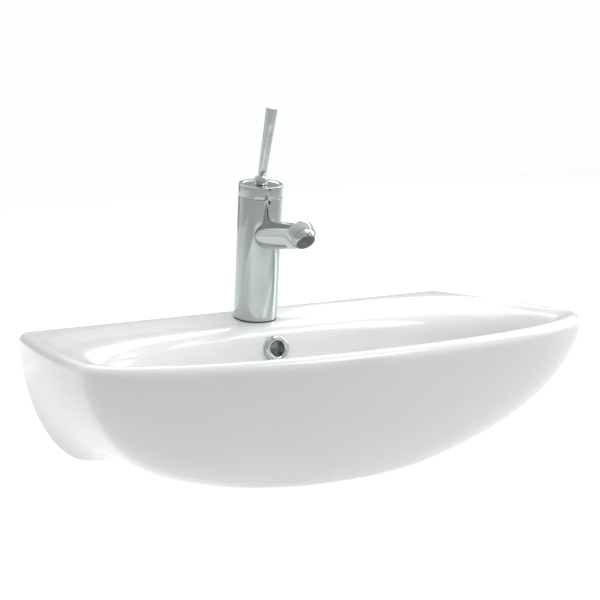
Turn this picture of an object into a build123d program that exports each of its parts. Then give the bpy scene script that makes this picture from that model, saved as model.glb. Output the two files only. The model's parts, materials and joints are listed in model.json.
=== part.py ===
from build123d import *
from math import cos, pi, radians, sin
import os

# Wall-hung basin for a semi-pedestal, with a single-lever mixer tap and a push waste.
# Millimetres. X runs along the wall, the wall is the plane Y = 0 and the bowl reaches to -Y.
# The origin is midway between the two wall fixing holes, on the wall.

# Basin plan
basin_width = 595.0
width_at_wall = 543.0
projection = 359.0
widest_from_wall = 240.0
rim_power = 1.93

# Basin height, and the foot that stands on the semi-pedestal
basin_height = 154.0
fixing_below_rim = 80.0
front_rim_rise = 8.0
foot_width_at_wall = 376.0
foot_width = 228.0
foot_waist_from_wall = 62.0
foot_projection = 228.0
foot_power = 3.3
rim_round = 10.0

# How the outer skin swells from foot to rim, as powers of a superellipse
wall_swell = 1.97
side_swell = 1.75
front_swell = 1.2
waist_swell = 2.07

# Ceramic thicknesses
skin = 12.0
back_wall = 14.0
wall_pad = 0.5
front_skin = 14.0
foot_lip = 10.0

# Deck and bowl
crest_inset = 15.0
crest_power = 4.5
deck_slope = 0.135
bowl_side_inset = 34.0
bowl_front_inset = 35.0
bowl_back = 84.0
bowl_edge_round = 14.0
bowl_power_back = 3.0
bowl_power_front = 2.1
bowl_lip_back = 22.0
bowl_lip_front = 8.0
bowl_depth = 100.0
bowl_side_swell = 2.0
bowl_front_swell = 1.5
bowl_back_swell = 2.0

# Waste
waste_from_wall = 176.0
bowl_floor_radius = 38.0
waste_hole_radius = 23.0
waste_boss_radius = 35.0
waste_boss_depth = 28.0
waste_flange_radius = 32.0
waste_flange_thickness = 2.5
waste_recess_depth = 3.0
waste_tail_radius = 20.95
waste_tail_bore = 17.5
tail_above_foot = 2.0
tail_connection = 10.0
tail_relief = 1.0
waste_slot_width = 9.0
waste_slot_height = 12.0
waste_nut_radius = 29.0
waste_nut_height = 9.0
waste_seal_thickness = 2.5
waste_washer_thickness = 4.0
bridge_drop = 24.0
click_radius = 7.0
click_length = 25.0
plug_radius = 28.0
plug_edge = 2.4
plug_dome = 3.0
plug_travel = 9.0
plug_post_radius = 5.0
plug_post_length = 42.0
plug_seal_radius = 24.8
plug_seal_thickness = 1.5

# Overflow
overflow_below_rim = 32.0
overflow_from_wall = 87.0
overflow_tilt = 8.0
overflow_hole_radius = 11.5
overflow_ring_radius = 14.8
overflow_ring_bore = 8.5
overflow_ring_height = 4.2
overflow_sleeve_length = 12.0
overflow_duct_radius = 6.5
overflow_duct_skin = 6.0
duct_behind_face = 19.0

# Wall fixings
fixing_spacing = 280.0
fixing_hole_radius = 7.0

# Tap body and spout; the spout is measured along its own rising axis
tap_from_wall = 36.0
tap_lean = 8.0
tap_below_rim = 3.0
tap_hole_radius = 17.5
tap_deck_thickness = 15.0
tap_radius = 25.0
tap_height = 156.0
tap_base_seal = 1.5
tap_recess_radius = 18.5
tap_recess_top = 14.0
inlet_radius = 4.6
inlet_depth = 20.0
inlet_spacing = 18.0
inlet_forward = 6.0
waterway_radius = 2.75
spout_root_height = 96.8
spout_rise = 12.4
spout_root_radius = 16.2
spout_tip_radius = 13.8
spout_bore = 7.0
spout_bore_start = 13.5
spout_feed_radius = 4.0
outlet_back = 4.0
ball_from_axis = 104.0
ball_radius = 13.8
collar_dip = 25.0
collar_radius = 15.2
collar_back = 9.5
collar_front = 2.5
nozzle_dip = 35.0
nozzle_face = 8.4
aerator_radius = 10.6
aerator_depth = 7.0

# Tap fixing under the deck
stud_radius = 4.0
stud_back = 9.0
stud_above = 29.0
stud_below = 56.0
fixing_plate_radius = 27.0
fixing_plate_back = 17.8
fixing_plate_thickness = 2.5
fixing_rubber_thickness = 3.0
fixing_slot_width = 29.0
fixing_nut_flats = 13.0
fixing_nut_height = 11.0

# Cartridge, handle and lever
cartridge_radius = 17.5
cartridge_height = 24.0
cartridge_seat = 110.0
cartridge_nut_height = 7.5
cartridge_nut_bore = 12.5
body_throat_radius = 20.0
rotor_radius = 8.8
rotor_top = 146.5
rotor_foot_depth = 6.0
foot_seal_thickness = 1.2
handle_cap_height = 13.6
handle_seam = 0.6
handle_wall = 3.0
handle_lip_width = 4.0
handle_dish = 1.2
handle_plate = 2.8
lever_ball_radius = 7.8
lever_ball_flat = 6.6
lever_pivot_height = 159.5
lever_lean = 12.0
lever_reach = 88.0
lever_foot_radius = 4.6
lever_tip_radius = 6.4
lever_travel = 27.0
stem_radius = 3.0
stem_reach = 16.5
spigot_radius = 2.5
pin_spigot_length = 8.4
stem_spigot_length = 3.6
grub_radius = 1.5
grub_length = 4.0

# Named clearances
seat_gap = 0.05
running_gap = 0.08
free_gap = 0.3

rim_z = fixing_below_rim
foot_z = rim_z - basin_height
floor_z = rim_z - bowl_depth
sleeve_radius = overflow_hole_radius - free_gap
cap_bottom = tap_height - handle_cap_height
body_top = cap_bottom - handle_seam
dish_z = tap_height - handle_dish
plate_z = dish_z - handle_plate
waste_boss_bottom = waste_recess_depth - waste_boss_depth
flange_top = waste_seal_thickness + waste_flange_thickness
tail_end = foot_z + tail_above_foot - (floor_z - waste_recess_depth)


def swell(fraction, power):
    """Superellipse quarter: 1 at fraction 0, falling to 0 at fraction 1."""
    return max(0.0, 1.0 - fraction**power) ** (1.0 / power)


def superellipse_radius(angle, along_x, along_y, power):
    across = (abs(cos(angle)) / along_x) ** power
    down = (abs(sin(angle)) / along_y) ** power
    return (across + down) ** (-1.0 / power)


def skin_points(half_wall, half_width, waist, depth, power, z_back, rise):
    """Plan of the outer skin from its right corner at the wall, round the front, to the left corner."""
    right = []
    for step in range(4):
        share = step / 4
        x = half_wall + (half_width - half_wall) * (1 - (1 - share) ** 2)
        right.append((x, -waist * share))
    for step in range(9):
        angle = radians(90 * step / 8)
        radius = superellipse_radius(angle, half_width, depth - waist, power)
        right.append((radius * cos(angle), -waist - radius * sin(angle)))
    left = [(-x, y) for x, y in reversed(right[:-1])]
    return [Vector(x, y, z_back + rise * -y / projection) for x, y in right + left]


def skin_wire(level, inset=0.0, front_inset=0.0, back_line=0.0, lift=0.0):
    """Closed plan of the skin at a level from 0 at the rim to 1 at the foot, drawn in by an inset."""
    side = swell(level, side_swell)
    half_wall = foot_width_at_wall / 2 + (width_at_wall - foot_width_at_wall) / 2 * swell(level, wall_swell)
    half_width = foot_width / 2 + (basin_width - foot_width) / 2 * side
    waist = foot_waist_from_wall + (widest_from_wall - foot_waist_from_wall) * swell(level, waist_swell)
    depth = foot_projection + (projection - foot_projection) * swell(level, front_swell)
    power = foot_power + (rim_power - foot_power) * swell(level, 2.0)
    z_back = rim_z - basin_height * level + lift
    rise = front_rim_rise * (1 - level)
    depth = depth - front_inset - back_line
    points = skin_points(half_wall - inset, half_width - inset, waist - back_line, depth, power, z_back, rise)
    points = [Vector(point.X, point.Y - back_line, point.Z) for point in points]
    return Wire([Spline(*points), Line(points[-1], points[0])])


def ring_wire(half_width, back, front, waist, power_back, power_front, z_back, z_front):
    """Closed plan of the bowl: two superellipse halves that meet on the line of greatest width."""
    points = []
    for step in range(28):
        angle = pi / 2 - 2 * pi * step / 28
        behind = sin(angle) > 0
        along_y = waist - back if behind else front - waist
        power = power_back if behind else power_front
        radius = superellipse_radius(angle, half_width, along_y, power)
        x = radius * cos(angle)
        y = -waist + radius * sin(angle)
        share = (-y - back) / (front - back)
        points.append(Vector(x, y, z_back + (z_front - z_back) * share))
    return Wire([Spline(*points, periodic=True)])


def rim_plane_z(from_wall):
    return rim_z + front_rim_rise * from_wall / projection


def bowl_wires(grow=0.0, drop=0.0):
    """Sections of the bowl from its lip to its floor, grown outward and lowered for the clay round it."""
    wires = []
    half_lip = basin_width / 2 - bowl_side_inset
    front_lip = projection - bowl_front_inset
    for angle in (0, 14, 28, 42, 56, 70, 82, 90):
        level = sin(radians(angle))
        half = bowl_floor_radius + (half_lip - bowl_floor_radius) * swell(level, bowl_side_swell)
        front_room = front_lip - waste_from_wall - bowl_floor_radius
        front = waste_from_wall + bowl_floor_radius + front_room * swell(level, bowl_front_swell)
        back_room = waste_from_wall - bowl_floor_radius - bowl_back
        back = waste_from_wall - bowl_floor_radius - back_room * swell(level, bowl_back_swell)
        waist = waste_from_wall + (widest_from_wall - waste_from_wall) * swell(level, 2.0)
        power_back = 2.0 + (bowl_power_back - 2.0) * (1 - level)
        power_front = 2.0 + (bowl_power_front - 2.0) * (1 - level)
        z_back = rim_z - bowl_lip_back - (bowl_depth - bowl_lip_back) * level - drop
        z_front = rim_z - bowl_lip_front - (bowl_depth - bowl_lip_front) * level - drop
        wires.append(
            ring_wire(half + grow, back - grow, front + grow, waist, power_back, power_front, z_back, z_front)
        )
    return wires


def deck_z(from_wall):
    return rim_plane_z(crest_inset) - deck_slope * (from_wall - crest_inset)


def lip_wires():
    """Sections from the crest of the rim down the sloping deck and over the bowl's rounded edge."""
    half_lip = basin_width / 2 - bowl_side_inset
    front_lip = projection - bowl_front_inset
    front_crest = projection - crest_inset
    crest = ring_wire(
        basin_width / 2 - crest_inset, crest_inset, front_crest, widest_from_wall, crest_power, rim_power,
        rim_plane_z(crest_inset), rim_plane_z(front_crest),
    )
    wires = [crest]
    for out, down, power in ((1.2, 0.0, 4.3), (0.9, 0.1, 4.0), (0.43, 0.4, 3.4)):
        back = bowl_back - bowl_edge_round * (5 * out - 1.2) / 1.4
        wires.append(
            ring_wire(
                half_lip + bowl_edge_round * out, back, front_lip + bowl_edge_round * out, widest_from_wall,
                power, rim_power, deck_z(back) - bowl_edge_round * down * 0.3,
                rim_z + front_rim_rise - bowl_edge_round * (0.02 + down),
            )
        )
    return wires


def capsule_run(points, radius):
    """A round passage through the points, with a ball at each bend."""
    passage = None
    for start, end in zip(points, points[1:]):
        way = end - start
        leg = Solid.make_cylinder(radius, way.length, Plane(origin=start, z_dir=way))
        bend = Solid.make_sphere(radius, Plane(origin=end), -90, 90, 360)
        passage = leg + bend if passage is None else passage + leg + bend
    return passage


# Frames of the pieces that don't stand square to the wall
tap_plane = Plane(
    origin=(0, -tap_from_wall, rim_z - tap_below_rim),
    x_dir=(1, 0, 0),
    z_dir=(0, -sin(radians(tap_lean)), cos(radians(tap_lean))),
)
waste_plane = Plane(origin=(0, -waste_from_wall, floor_z - waste_recess_depth))
overflow_plane = Plane(
    origin=(0, -overflow_from_wall, rim_z - overflow_below_rim),
    x_dir=(1, 0, 0),
    z_dir=(0, -cos(radians(overflow_tilt)), sin(radians(overflow_tilt))),
)
duct_points = [
    overflow_plane.origin - overflow_plane.z_dir * duct_behind_face,
    Vector(0, 12 - overflow_from_wall, rim_z - 62),
    Vector(0, -4 - overflow_from_wall, rim_z - 90),
    Vector(0, -29 - overflow_from_wall, rim_z - 110),
    Vector(0, waste_hole_radius - 2 - waste_from_wall, rim_z - 115),
]


def forward_plane(start, angle):
    """Plane in the tap's own frame whose axis points to the user, raised by an angle."""
    return Plane(origin=start, x_dir=(1, 0, 0), z_dir=(0, -cos(radians(angle)), sin(radians(angle))))


spout_plane = forward_plane((0, 0, spout_root_height), spout_rise)
ball_centre = spout_plane.origin + spout_plane.z_dir * ball_from_axis
collar_plane = forward_plane(ball_centre, -collar_dip)
nozzle_plane = forward_plane(ball_centre, -nozzle_dip)
lever_plane = forward_plane((0, 0, lever_pivot_height), 90 - lever_lean)


def disc(plane, radius, low, high):
    """A round slug on a plane's own axis, from one height to another."""
    base = Plane(origin=plane.origin + plane.z_dir * low, x_dir=plane.x_dir, z_dir=plane.z_dir)
    return Solid.make_cylinder(radius, high - low, base)


def taper(plane, low_radius, high_radius, low, high):
    base = Plane(origin=plane.origin + plane.z_dir * low, x_dir=plane.x_dir, z_dir=plane.z_dir)
    return Solid.make_cone(low_radius, high_radius, high - low, base)


def tube(plane, outer, inner, low, high):
    return disc(plane, outer, low, high) - disc(plane, inner, low - 1, high + 1)


def ball(centre, radius):
    return Pos(*centre) * Sphere(radius)


def on_tap(shape):
    return tap_plane.location * shape


def on_waste(shape):
    return waste_plane.location * shape


def outer_skin():
    """Lofted skin with a rounded rim, on a thin flat pad where it meets the wall."""
    levels = (0.0, 0.1, 0.25, 0.42, 0.6, 0.76, 0.9, 0.975, 1.0)
    body = Solid.make_loft([skin_wire(level, back_line=wall_pad) for level in levels])
    rim = [edge for edge in body.edges() if edge.center().Z > rim_z - 2 and edge.length > width_at_wall + 1]
    body = fillet(rim, rim_round)
    back = body.faces().sort_by(Axis.Y)[-1]
    return body + extrude(Face(back.outer_wire()), amount=wall_pad, dir=(0, 1, 0))


def bowl_hollow():
    return Solid.make_loft(lip_wires() + bowl_wires())


def underside_hollow():
    """Open space under the deck and round the bowl, open at the foot."""
    levels = (0.22, 0.36, 0.52, 0.68, 0.82, 0.93, 1.0)
    wires = [skin_wire(level, skin, front_skin, back_wall, foot_lip) for level in levels]
    space = Solid.make_loft(wires) + extrude(Face(wires[-1]), amount=foot_lip * 2, dir=(0, 0, -1))
    clay_wires = bowl_wires(skin + 1, skin)
    clay_round_bowl = Solid.make_loft(clay_wires)
    clay_round_lip = extrude(Face(clay_wires[0]), amount=skin * 2, dir=(0, 0, 1))
    boss = disc(waste_plane, waste_boss_radius, waste_boss_bottom, 0)
    duct = capsule_run(duct_points, overflow_duct_radius + overflow_duct_skin)
    neck = disc(overflow_plane, overflow_hole_radius + overflow_duct_skin, -duct_behind_face, 0)
    return space - [clay_round_bowl, clay_round_lip, boss, duct, neck]


def tap_underseat():
    """Flat under the deck, square to the tap, for its fixing plate; it stops short of the back wall."""
    seat = disc(Plane.XY, fixing_plate_radius + 2, -tap_deck_thickness - 25, -tap_deck_thickness)
    keep = Pos(0, fixing_plate_back + free_gap - 50, -tap_deck_thickness) * Box(120, 100, 60)
    overflow_side = Pos(0, -40, -tap_deck_thickness) * Box(fixing_slot_width - 4, 60, 60)
    return on_tap((seat & keep) - overflow_side)


def make_basin():
    basin = outer_skin() - bowl_hollow()
    basin = basin - underside_hollow()
    cutters = [
        disc(tap_plane, tap_hole_radius, -60, 20),
        disc(tap_plane, tap_radius + 1, 0, 20),
        tap_underseat(),
        disc(waste_plane, waste_flange_radius + free_gap, 0, waste_recess_depth + 6),
        disc(waste_plane, waste_hole_radius, -60, 10),
        disc(overflow_plane, overflow_ring_radius + free_gap, 0, 12),
        disc(overflow_plane, overflow_hole_radius, -duct_behind_face, 1),
        capsule_run(duct_points, overflow_duct_radius),
    ]
    for side in (-1, 1):
        wall_point = Plane(origin=(side * fixing_spacing / 2, 5, 0), x_dir=(1, 0, 0), z_dir=(0, -1, 0))
        cutters.append(Solid.make_cylinder(fixing_hole_radius, back_wall + 10, wall_point))
    return basin - cutters


def make_overflow_ring():
    """Domed ring with a sleeve behind it that pushes into the ceramic."""
    crown = (overflow_ring_bore + overflow_ring_radius) / 2
    profile = make_face(
        [
            Line((overflow_ring_bore, -1.0), (overflow_ring_bore, overflow_ring_height * 0.6)),
            ThreePointArc(
                (overflow_ring_bore, overflow_ring_height * 0.6),
                (crown, overflow_ring_height),
                (overflow_ring_radius, 0.8),
            ),
            Polyline(
                (overflow_ring_radius, 0.8),
                (overflow_ring_radius, 0.0),
                (sleeve_radius, 0.0),
                (sleeve_radius, -overflow_sleeve_length),
                (sleeve_radius - 1.4, -overflow_sleeve_length),
                (sleeve_radius - 1.4, -1.0),
                (overflow_ring_bore, -1.0),
            ),
        ]
    )
    return overflow_plane.location * revolve(Plane.XZ * profile, Axis.Z)


def make_waste_body():
    """Flanged tail with overflow slots, and a bridge across the bore that carries the push mechanism."""
    body = taper(Plane.XY, waste_flange_radius, waste_flange_radius - 2, waste_seal_thickness, flange_top)
    body += disc(Plane.XY, waste_tail_radius, tail_end, waste_seal_thickness)
    relief_low = tail_end + tail_connection
    relief = tube(Plane.XY, waste_tail_radius + 1, waste_tail_radius - 0.8, relief_low, relief_low + tail_relief)
    bore = disc(Plane.XY, waste_tail_bore, tail_end - 1, 20)
    mouth = taper(Plane.XY, waste_tail_bore - 0.01, waste_tail_bore + 5, flange_top - 4, flange_top)
    slots = [
        Rot(0, 0, 60 * turn)
        * Pos(0, waste_tail_radius, waste_boss_bottom / 2)
        * Box(waste_slot_width, 16, waste_slot_height)
        for turn in range(6)
    ]
    body = body - [bore, mouth, relief] - slots
    hub_radius = click_radius + 2.5
    bridge = Pos(0, 0, -bridge_drop) * (Cylinder(hub_radius, 6) - Cylinder(click_radius + seat_gap, 8))
    for turn in range(3):
        rib = Box(3, waste_tail_bore - hub_radius + 2, 6)
        bridge += Rot(0, 0, 120 * turn) * Pos(0, (waste_tail_bore + hub_radius) / 2, -bridge_drop) * rib
    return on_waste(body + bridge)


def make_waste_nut():
    """Backnut with six lugs for the fingers."""
    low = waste_boss_bottom - waste_washer_thickness - waste_nut_height
    nut = disc(Plane.XY, waste_nut_radius - 3, low, low + waste_nut_height)
    nut += disc(Plane.XY, waste_nut_radius, low + waste_nut_height - 3, low + waste_nut_height)
    for turn in range(6):
        lug = Pos(waste_nut_radius - 3.2, 0, low + waste_nut_height / 2) * Box(6, 7, waste_nut_height)
        nut += Rot(0, 0, 60 * turn) * lug
    thread = disc(Plane.XY, waste_tail_radius + running_gap, low - 1, low + waste_nut_height + 1)
    return on_waste(nut - thread)


def make_click_mechanism():
    top = 6 - bridge_drop
    sleeve = disc(Plane.XY, click_radius, top - click_length, top)
    sleeve += disc(Plane.XY, click_radius + 2, 3 - bridge_drop, top)
    sleeve -= disc(Plane.XY, plug_post_radius + running_gap, top - click_length + 3, top + 1)
    return on_waste(sleeve)


def make_plug():
    """Domed plug, its seal and its post, drawn open: raised by the whole travel."""
    under = flange_top + plug_travel + seat_gap * 4
    disc_edge = under + plug_edge
    dome_radius = (plug_radius**2 + plug_dome**2) / (2 * plug_dome)
    dome = ball((0, 0, disc_edge + plug_dome - dome_radius), dome_radius)
    cap = disc(Plane.XY, plug_radius, under, disc_edge + plug_dome) & dome
    cap -= disc(Plane.XY, plug_radius - 2.5, under - 1, under + plug_edge - 1)
    post_top = under + plug_edge - 1
    cap += tube(Plane.XY, plug_post_radius + 3, plug_post_radius, post_top - 5, post_top)
    seal_bore = plug_post_radius + 3 + seat_gap
    seal = tube(Plane.XY, plug_seal_radius, seal_bore, post_top - plug_seal_thickness, post_top)
    post = disc(Plane.XY, plug_post_radius - seat_gap, post_top - plug_post_length, post_top)
    return on_waste(cap), on_waste(seal), on_waste(post)


def make_tap_body():
    """Cast body and spout in one, bored for its inlets, cartridge and waterway."""
    body = disc(Plane.XY, tap_radius, tap_base_seal, body_top)
    body = chamfer(body.edges().group_by(Axis.Z)[0], 0.6)
    spout = taper(spout_plane, spout_root_radius, spout_tip_radius, 0, ball_from_axis)
    beyond = disc(collar_plane, 40, -collar_back, 60)
    spout = spout - beyond - disc(Plane.XY, tap_radius - 1, 0, tap_height)
    body = body + spout
    cutters = [
        disc(Plane.XY, tap_recess_radius, 0, tap_recess_top),
        disc(Plane.XY, cartridge_radius + running_gap, cartridge_seat, cartridge_seat + cartridge_height),
        disc(Plane.XY, body_throat_radius, cartridge_seat + cartridge_height, tap_height),
        disc(spout_plane, spout_bore, spout_bore_start, ball_from_axis),
        disc(spout_plane, spout_feed_radius, -outlet_back - 2, spout_bore_start + 1),
        disc(Plane((0, outlet_back, 0)), waterway_radius, spout_root_height, cartridge_seat + 1),
        ball(ball_centre, ball_radius + free_gap),
        disc(Plane((0, stud_back, 0)), stud_radius + running_gap, 0, stud_above + 1),
    ]
    for side in (-1, 1):
        port = Plane((side * inlet_spacing / 2, -inlet_forward, 0))
        cutters.append(disc(port, inlet_radius, tap_recess_top - 1, tap_recess_top + inlet_depth))
        cutters.append(disc(port, waterway_radius, tap_recess_top, cartridge_seat + 1))
    return on_tap(body - cutters)


def make_spout_collar():
    """Slanted ring that holds the ball of the nozzle on the spout."""
    ring = disc(collar_plane, collar_radius, -collar_back, -collar_back + 5)
    ring += taper(collar_plane, collar_radius, collar_radius - 0.7, -collar_back + 5, collar_front)
    ring -= ball(ball_centre, ball_radius + running_gap)
    return on_tap(ring)


def make_aerator():
    """Nozzle ball with a flat face, and the seal and insert that sit in it."""
    nozzle = ball(ball_centre, ball_radius) - disc(nozzle_plane, 30, nozzle_face, 40)
    pocket = disc(nozzle_plane, aerator_radius + running_gap, nozzle_face - aerator_depth, nozzle_face + 1)
    throat = disc(nozzle_plane, spout_bore, 0, nozzle_face)
    entry = disc(spout_plane, spout_bore, ball_from_axis - 20, ball_from_axis)
    nozzle = nozzle - [pocket, throat, entry]
    base = nozzle_face - aerator_depth
    seal = tube(nozzle_plane, aerator_radius, spout_bore + 0.5, base, base + 1.4)
    insert = disc(nozzle_plane, aerator_radius, base + 1.4 + seat_gap, nozzle_face - 0.6)
    insert -= disc(nozzle_plane, aerator_radius - 1.2, nozzle_face - 1.4, nozzle_face)
    return on_tap(nozzle), on_tap(seal), on_tap(insert)


def make_fixing_plate(thickness, top):
    """Horseshoe that bears on the underside of the deck, open to the front for the two inlets."""
    plate = disc(Plane.XY, fixing_plate_radius, top - thickness, top)
    plate = plate & (Pos(0, fixing_plate_back - 50, top) * Box(120, 100, 60))
    slot = Pos(0, -25, top) * Box(fixing_slot_width, 50, 40)
    stud_hole = disc(Plane((0, stud_back, 0)), stud_radius + free_gap, top - 20, top + 20)
    return on_tap(plate - [slot, stud_hole])


def make_fixing_nut(top):
    hexagon = extrude(RegularPolygon(fixing_nut_flats / 2, 6, major_radius=False), fixing_nut_height)
    nut = Pos(0, stud_back, top - fixing_nut_height) * hexagon
    return on_tap(nut - disc(Plane((0, stud_back, 0)), stud_radius + running_gap, top - 30, top + 5))


def cartridge_ports():
    """Where hot, cold and mixed water pass the foot of the cartridge."""
    side = inlet_spacing / 2
    return {"hot": (-side, -inlet_forward), "cold": (side, -inlet_forward), "mixed": (0, outlet_back)}


def make_cartridge():
    """Body, its three foot seals, the ring nut that holds it down and the part that turns in it."""
    top = cartridge_seat + cartridge_height
    low = cartridge_seat + foot_seal_thickness
    body = disc(Plane.XY, cartridge_radius, low, top)
    cutters = [disc(Plane.XY, rotor_radius + running_gap, top - rotor_foot_depth, top + 1)]
    pieces = {}
    for name, (x, y) in cartridge_ports().items():
        port = Plane((x, y, 0))
        cutters.append(disc(port, waterway_radius, cartridge_seat, cartridge_seat + 8))
        seal = tube(port, waterway_radius + 1.6, waterway_radius, cartridge_seat, low)
        pieces["cartridge_seal_" + name] = on_tap(seal)
    pieces["cartridge_body"] = on_tap(body - cutters)
    nut_radius = body_throat_radius - running_gap
    nut = tube(Plane.XY, nut_radius, cartridge_nut_bore, top, top + cartridge_nut_height)
    key_hexagon = extrude(RegularPolygon(cartridge_nut_bore + 2.4, 6, major_radius=False), 4)
    nut -= Pos(0, 0, top + cartridge_nut_height - 3.5) * key_hexagon
    pieces["cartridge_nut"] = on_tap(nut)
    rotor = disc(Plane.XY, rotor_radius, top - rotor_foot_depth + seat_gap, rotor_top)
    swing = stem_reach * sin(radians(lever_travel - lever_lean)) + stem_radius + free_gap
    slot = Pos(0, 0, rotor_top) * Box(2 * (stem_radius + free_gap), 2 * swing, 9)
    pieces["cartridge_rotor"] = on_tap(rotor - slot)
    return pieces


def make_handle_cap():
    """Hollow turning cap: a raised lip round a shallow dish, a seat for the ball and a hub on the rotor."""
    cap = disc(Plane.XY, tap_radius, cap_bottom, tap_height)
    cap = fillet(cap.edges().group_by(Axis.Z)[-1], 0.8)
    dish_radius = tap_radius - handle_lip_width
    cap -= taper(Plane.XY, dish_radius - handle_dish, dish_radius, dish_z, tap_height + 0.001)
    cap -= disc(Plane.XY, tap_radius - handle_wall, cap_bottom - 1, plate_z)
    cap += tube(Plane.XY, rotor_radius + 3, rotor_radius + seat_gap, cap_bottom - 4, plate_z)
    cap -= ball((0, 0, lever_pivot_height), lever_ball_radius + free_gap)
    cap -= Pos(0, 0, plate_z) * Box(2 * (stem_radius + free_gap), 2 * (stem_radius + 2.6), 9)
    return on_tap(cap)


def make_lever():
    """Ball that rocks in the cap, the long pin screwed into it, the stem below and its grub screw."""
    flat = lever_ball_flat
    knob = ball((0, 0, lever_pivot_height), lever_ball_radius)
    knob -= disc(lever_plane, 20, flat, 30)
    knob -= disc(lever_plane, 20, -30, -flat)
    knob -= disc(lever_plane, spigot_radius + seat_gap, flat - pin_spigot_length, flat + 1)
    knob -= disc(lever_plane, spigot_radius + seat_gap, -flat - 1, stem_spigot_length - flat)
    back = Plane(origin=lever_plane.origin, x_dir=(1, 0, 0), z_dir=lever_plane.z_dir.cross(Vector(1, 0, 0)))
    grub_seat = lever_ball_radius - 0.4
    knob -= disc(back, grub_radius + seat_gap, grub_seat - grub_length, 20)
    pin = taper(lever_plane, lever_foot_radius, lever_tip_radius, flat, lever_reach)
    pin = chamfer(pin.edges().filter_by(GeomType.CIRCLE), 0.4)
    pin += disc(lever_plane, spigot_radius, flat - pin_spigot_length + seat_gap, flat + 1)
    stem = disc(lever_plane, stem_radius, -stem_reach, -flat)
    stem += disc(lever_plane, spigot_radius, -flat, stem_spigot_length - flat - seat_gap)
    grub = disc(back, grub_radius, grub_seat - grub_length + seat_gap, grub_seat)
    return on_tap(knob), on_tap(pin), on_tap(stem), on_tap(grub)


def make_parts():
    parts = {"basin": make_basin(), "overflow_ring": make_overflow_ring()}
    parts["waste_body"] = make_waste_body()
    parts["waste_seal"] = on_waste(
        tube(Plane.XY, waste_flange_radius - 3, waste_tail_radius + free_gap, 0, waste_seal_thickness)
    )
    washer_low = waste_boss_bottom - waste_washer_thickness
    parts["waste_washer"] = on_waste(
        tube(Plane.XY, waste_boss_radius - 5, waste_tail_radius + free_gap, washer_low, waste_boss_bottom)
    )
    parts["waste_nut"] = make_waste_nut()
    parts["click_mechanism"] = make_click_mechanism()
    parts["plug_cap"], parts["plug_seal"], parts["plug_post"] = make_plug()
    parts["tap_base_seal"] = on_tap(tube(Plane.XY, tap_radius - 0.7, tap_recess_radius, 0, tap_base_seal))
    parts["tap_body"] = make_tap_body()
    parts["spout_collar"] = make_spout_collar()
    parts["aerator_ball"], parts["aerator_seal"], parts["aerator_insert"] = make_aerator()
    parts["fixing_rubber"] = make_fixing_plate(fixing_rubber_thickness, -tap_deck_thickness)
    plate_top = -tap_deck_thickness - fixing_rubber_thickness
    parts["fixing_plate"] = make_fixing_plate(fixing_plate_thickness, plate_top)
    parts["fixing_nut"] = make_fixing_nut(plate_top - fixing_plate_thickness)
    parts["fixing_stud"] = on_tap(disc(Plane((0, stud_back, 0)), stud_radius, -stud_below, stud_above))
    parts.update(make_cartridge())
    parts["cap_glide_ring"] = on_tap(
        tube(Plane.XY, tap_radius - 1, body_throat_radius + 0.5, body_top, cap_bottom - seat_gap)
    )
    parts["handle_cap"] = make_handle_cap()
    parts["lever_ball"], parts["lever_pin"], parts["lever_stem"], parts["grub_screw"] = make_lever()
    return parts


if __name__ == "__main__":
    os.makedirs("parts", exist_ok=True)
    for name, shape in make_parts().items():
        export_step(shape, "parts/" + name + ".step")
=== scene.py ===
import json
import math

import bmesh
import bpy
import numpy as np
from mathutils import Matrix, Vector


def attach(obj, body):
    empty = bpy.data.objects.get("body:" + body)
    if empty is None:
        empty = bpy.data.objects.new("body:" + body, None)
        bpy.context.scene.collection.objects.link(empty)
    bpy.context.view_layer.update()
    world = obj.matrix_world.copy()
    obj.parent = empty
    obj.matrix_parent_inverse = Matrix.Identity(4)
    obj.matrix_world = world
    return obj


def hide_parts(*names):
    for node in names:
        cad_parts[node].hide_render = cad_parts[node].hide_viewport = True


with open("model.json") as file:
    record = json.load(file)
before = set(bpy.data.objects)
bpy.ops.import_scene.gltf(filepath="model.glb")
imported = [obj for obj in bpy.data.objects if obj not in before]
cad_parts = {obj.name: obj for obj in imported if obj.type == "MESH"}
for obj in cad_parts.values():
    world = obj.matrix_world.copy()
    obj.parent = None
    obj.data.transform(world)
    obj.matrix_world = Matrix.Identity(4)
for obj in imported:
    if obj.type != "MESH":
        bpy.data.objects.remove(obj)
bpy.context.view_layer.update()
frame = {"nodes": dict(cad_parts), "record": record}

# Sizes are in millimetres until a mesh is made; MM turns them into metres.
MM = 0.001

# Basin, the same driving sizes as the CAD model
BASIN_WIDTH = 595.0
WIDTH_AT_WALL = 543.0
PROJECTION = 359.0
WIDEST_FROM_WALL = 240.0
RIM_POWER = 1.93
BASIN_HEIGHT = 154.0
RIM_Z = 80.0
FRONT_RIM_RISE = 8.0
FOOT_WIDTH_AT_WALL = 376.0
FOOT_WIDTH = 228.0
FOOT_WAIST = 62.0
FOOT_PROJECTION = 228.0
FOOT_POWER = 3.3
RIM_ROUND = 10.0
WALL_SWELL, SIDE_SWELL, FRONT_SWELL, WAIST_SWELL = 1.97, 1.75, 1.2, 2.07
SKIN, BACK_WALL, FRONT_SKIN, FOOT_LIP = 12.0, 14.0, 14.0, 10.0
CREST_INSET, CREST_POWER, DECK_SLOPE = 15.0, 4.5, 0.135
BOWL_SIDE_INSET, BOWL_FRONT_INSET, BOWL_BACK, BOWL_ROUND = 34.0, 35.0, 84.0, 14.0
BOWL_POWER_BACK, BOWL_POWER_FRONT = 3.0, 2.1
BOWL_LIP_BACK, BOWL_LIP_FRONT, BOWL_DEPTH = 22.0, 8.0, 100.0
WASTE_FROM_WALL, BOWL_FLOOR_RADIUS = 176.0, 38.0

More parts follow.
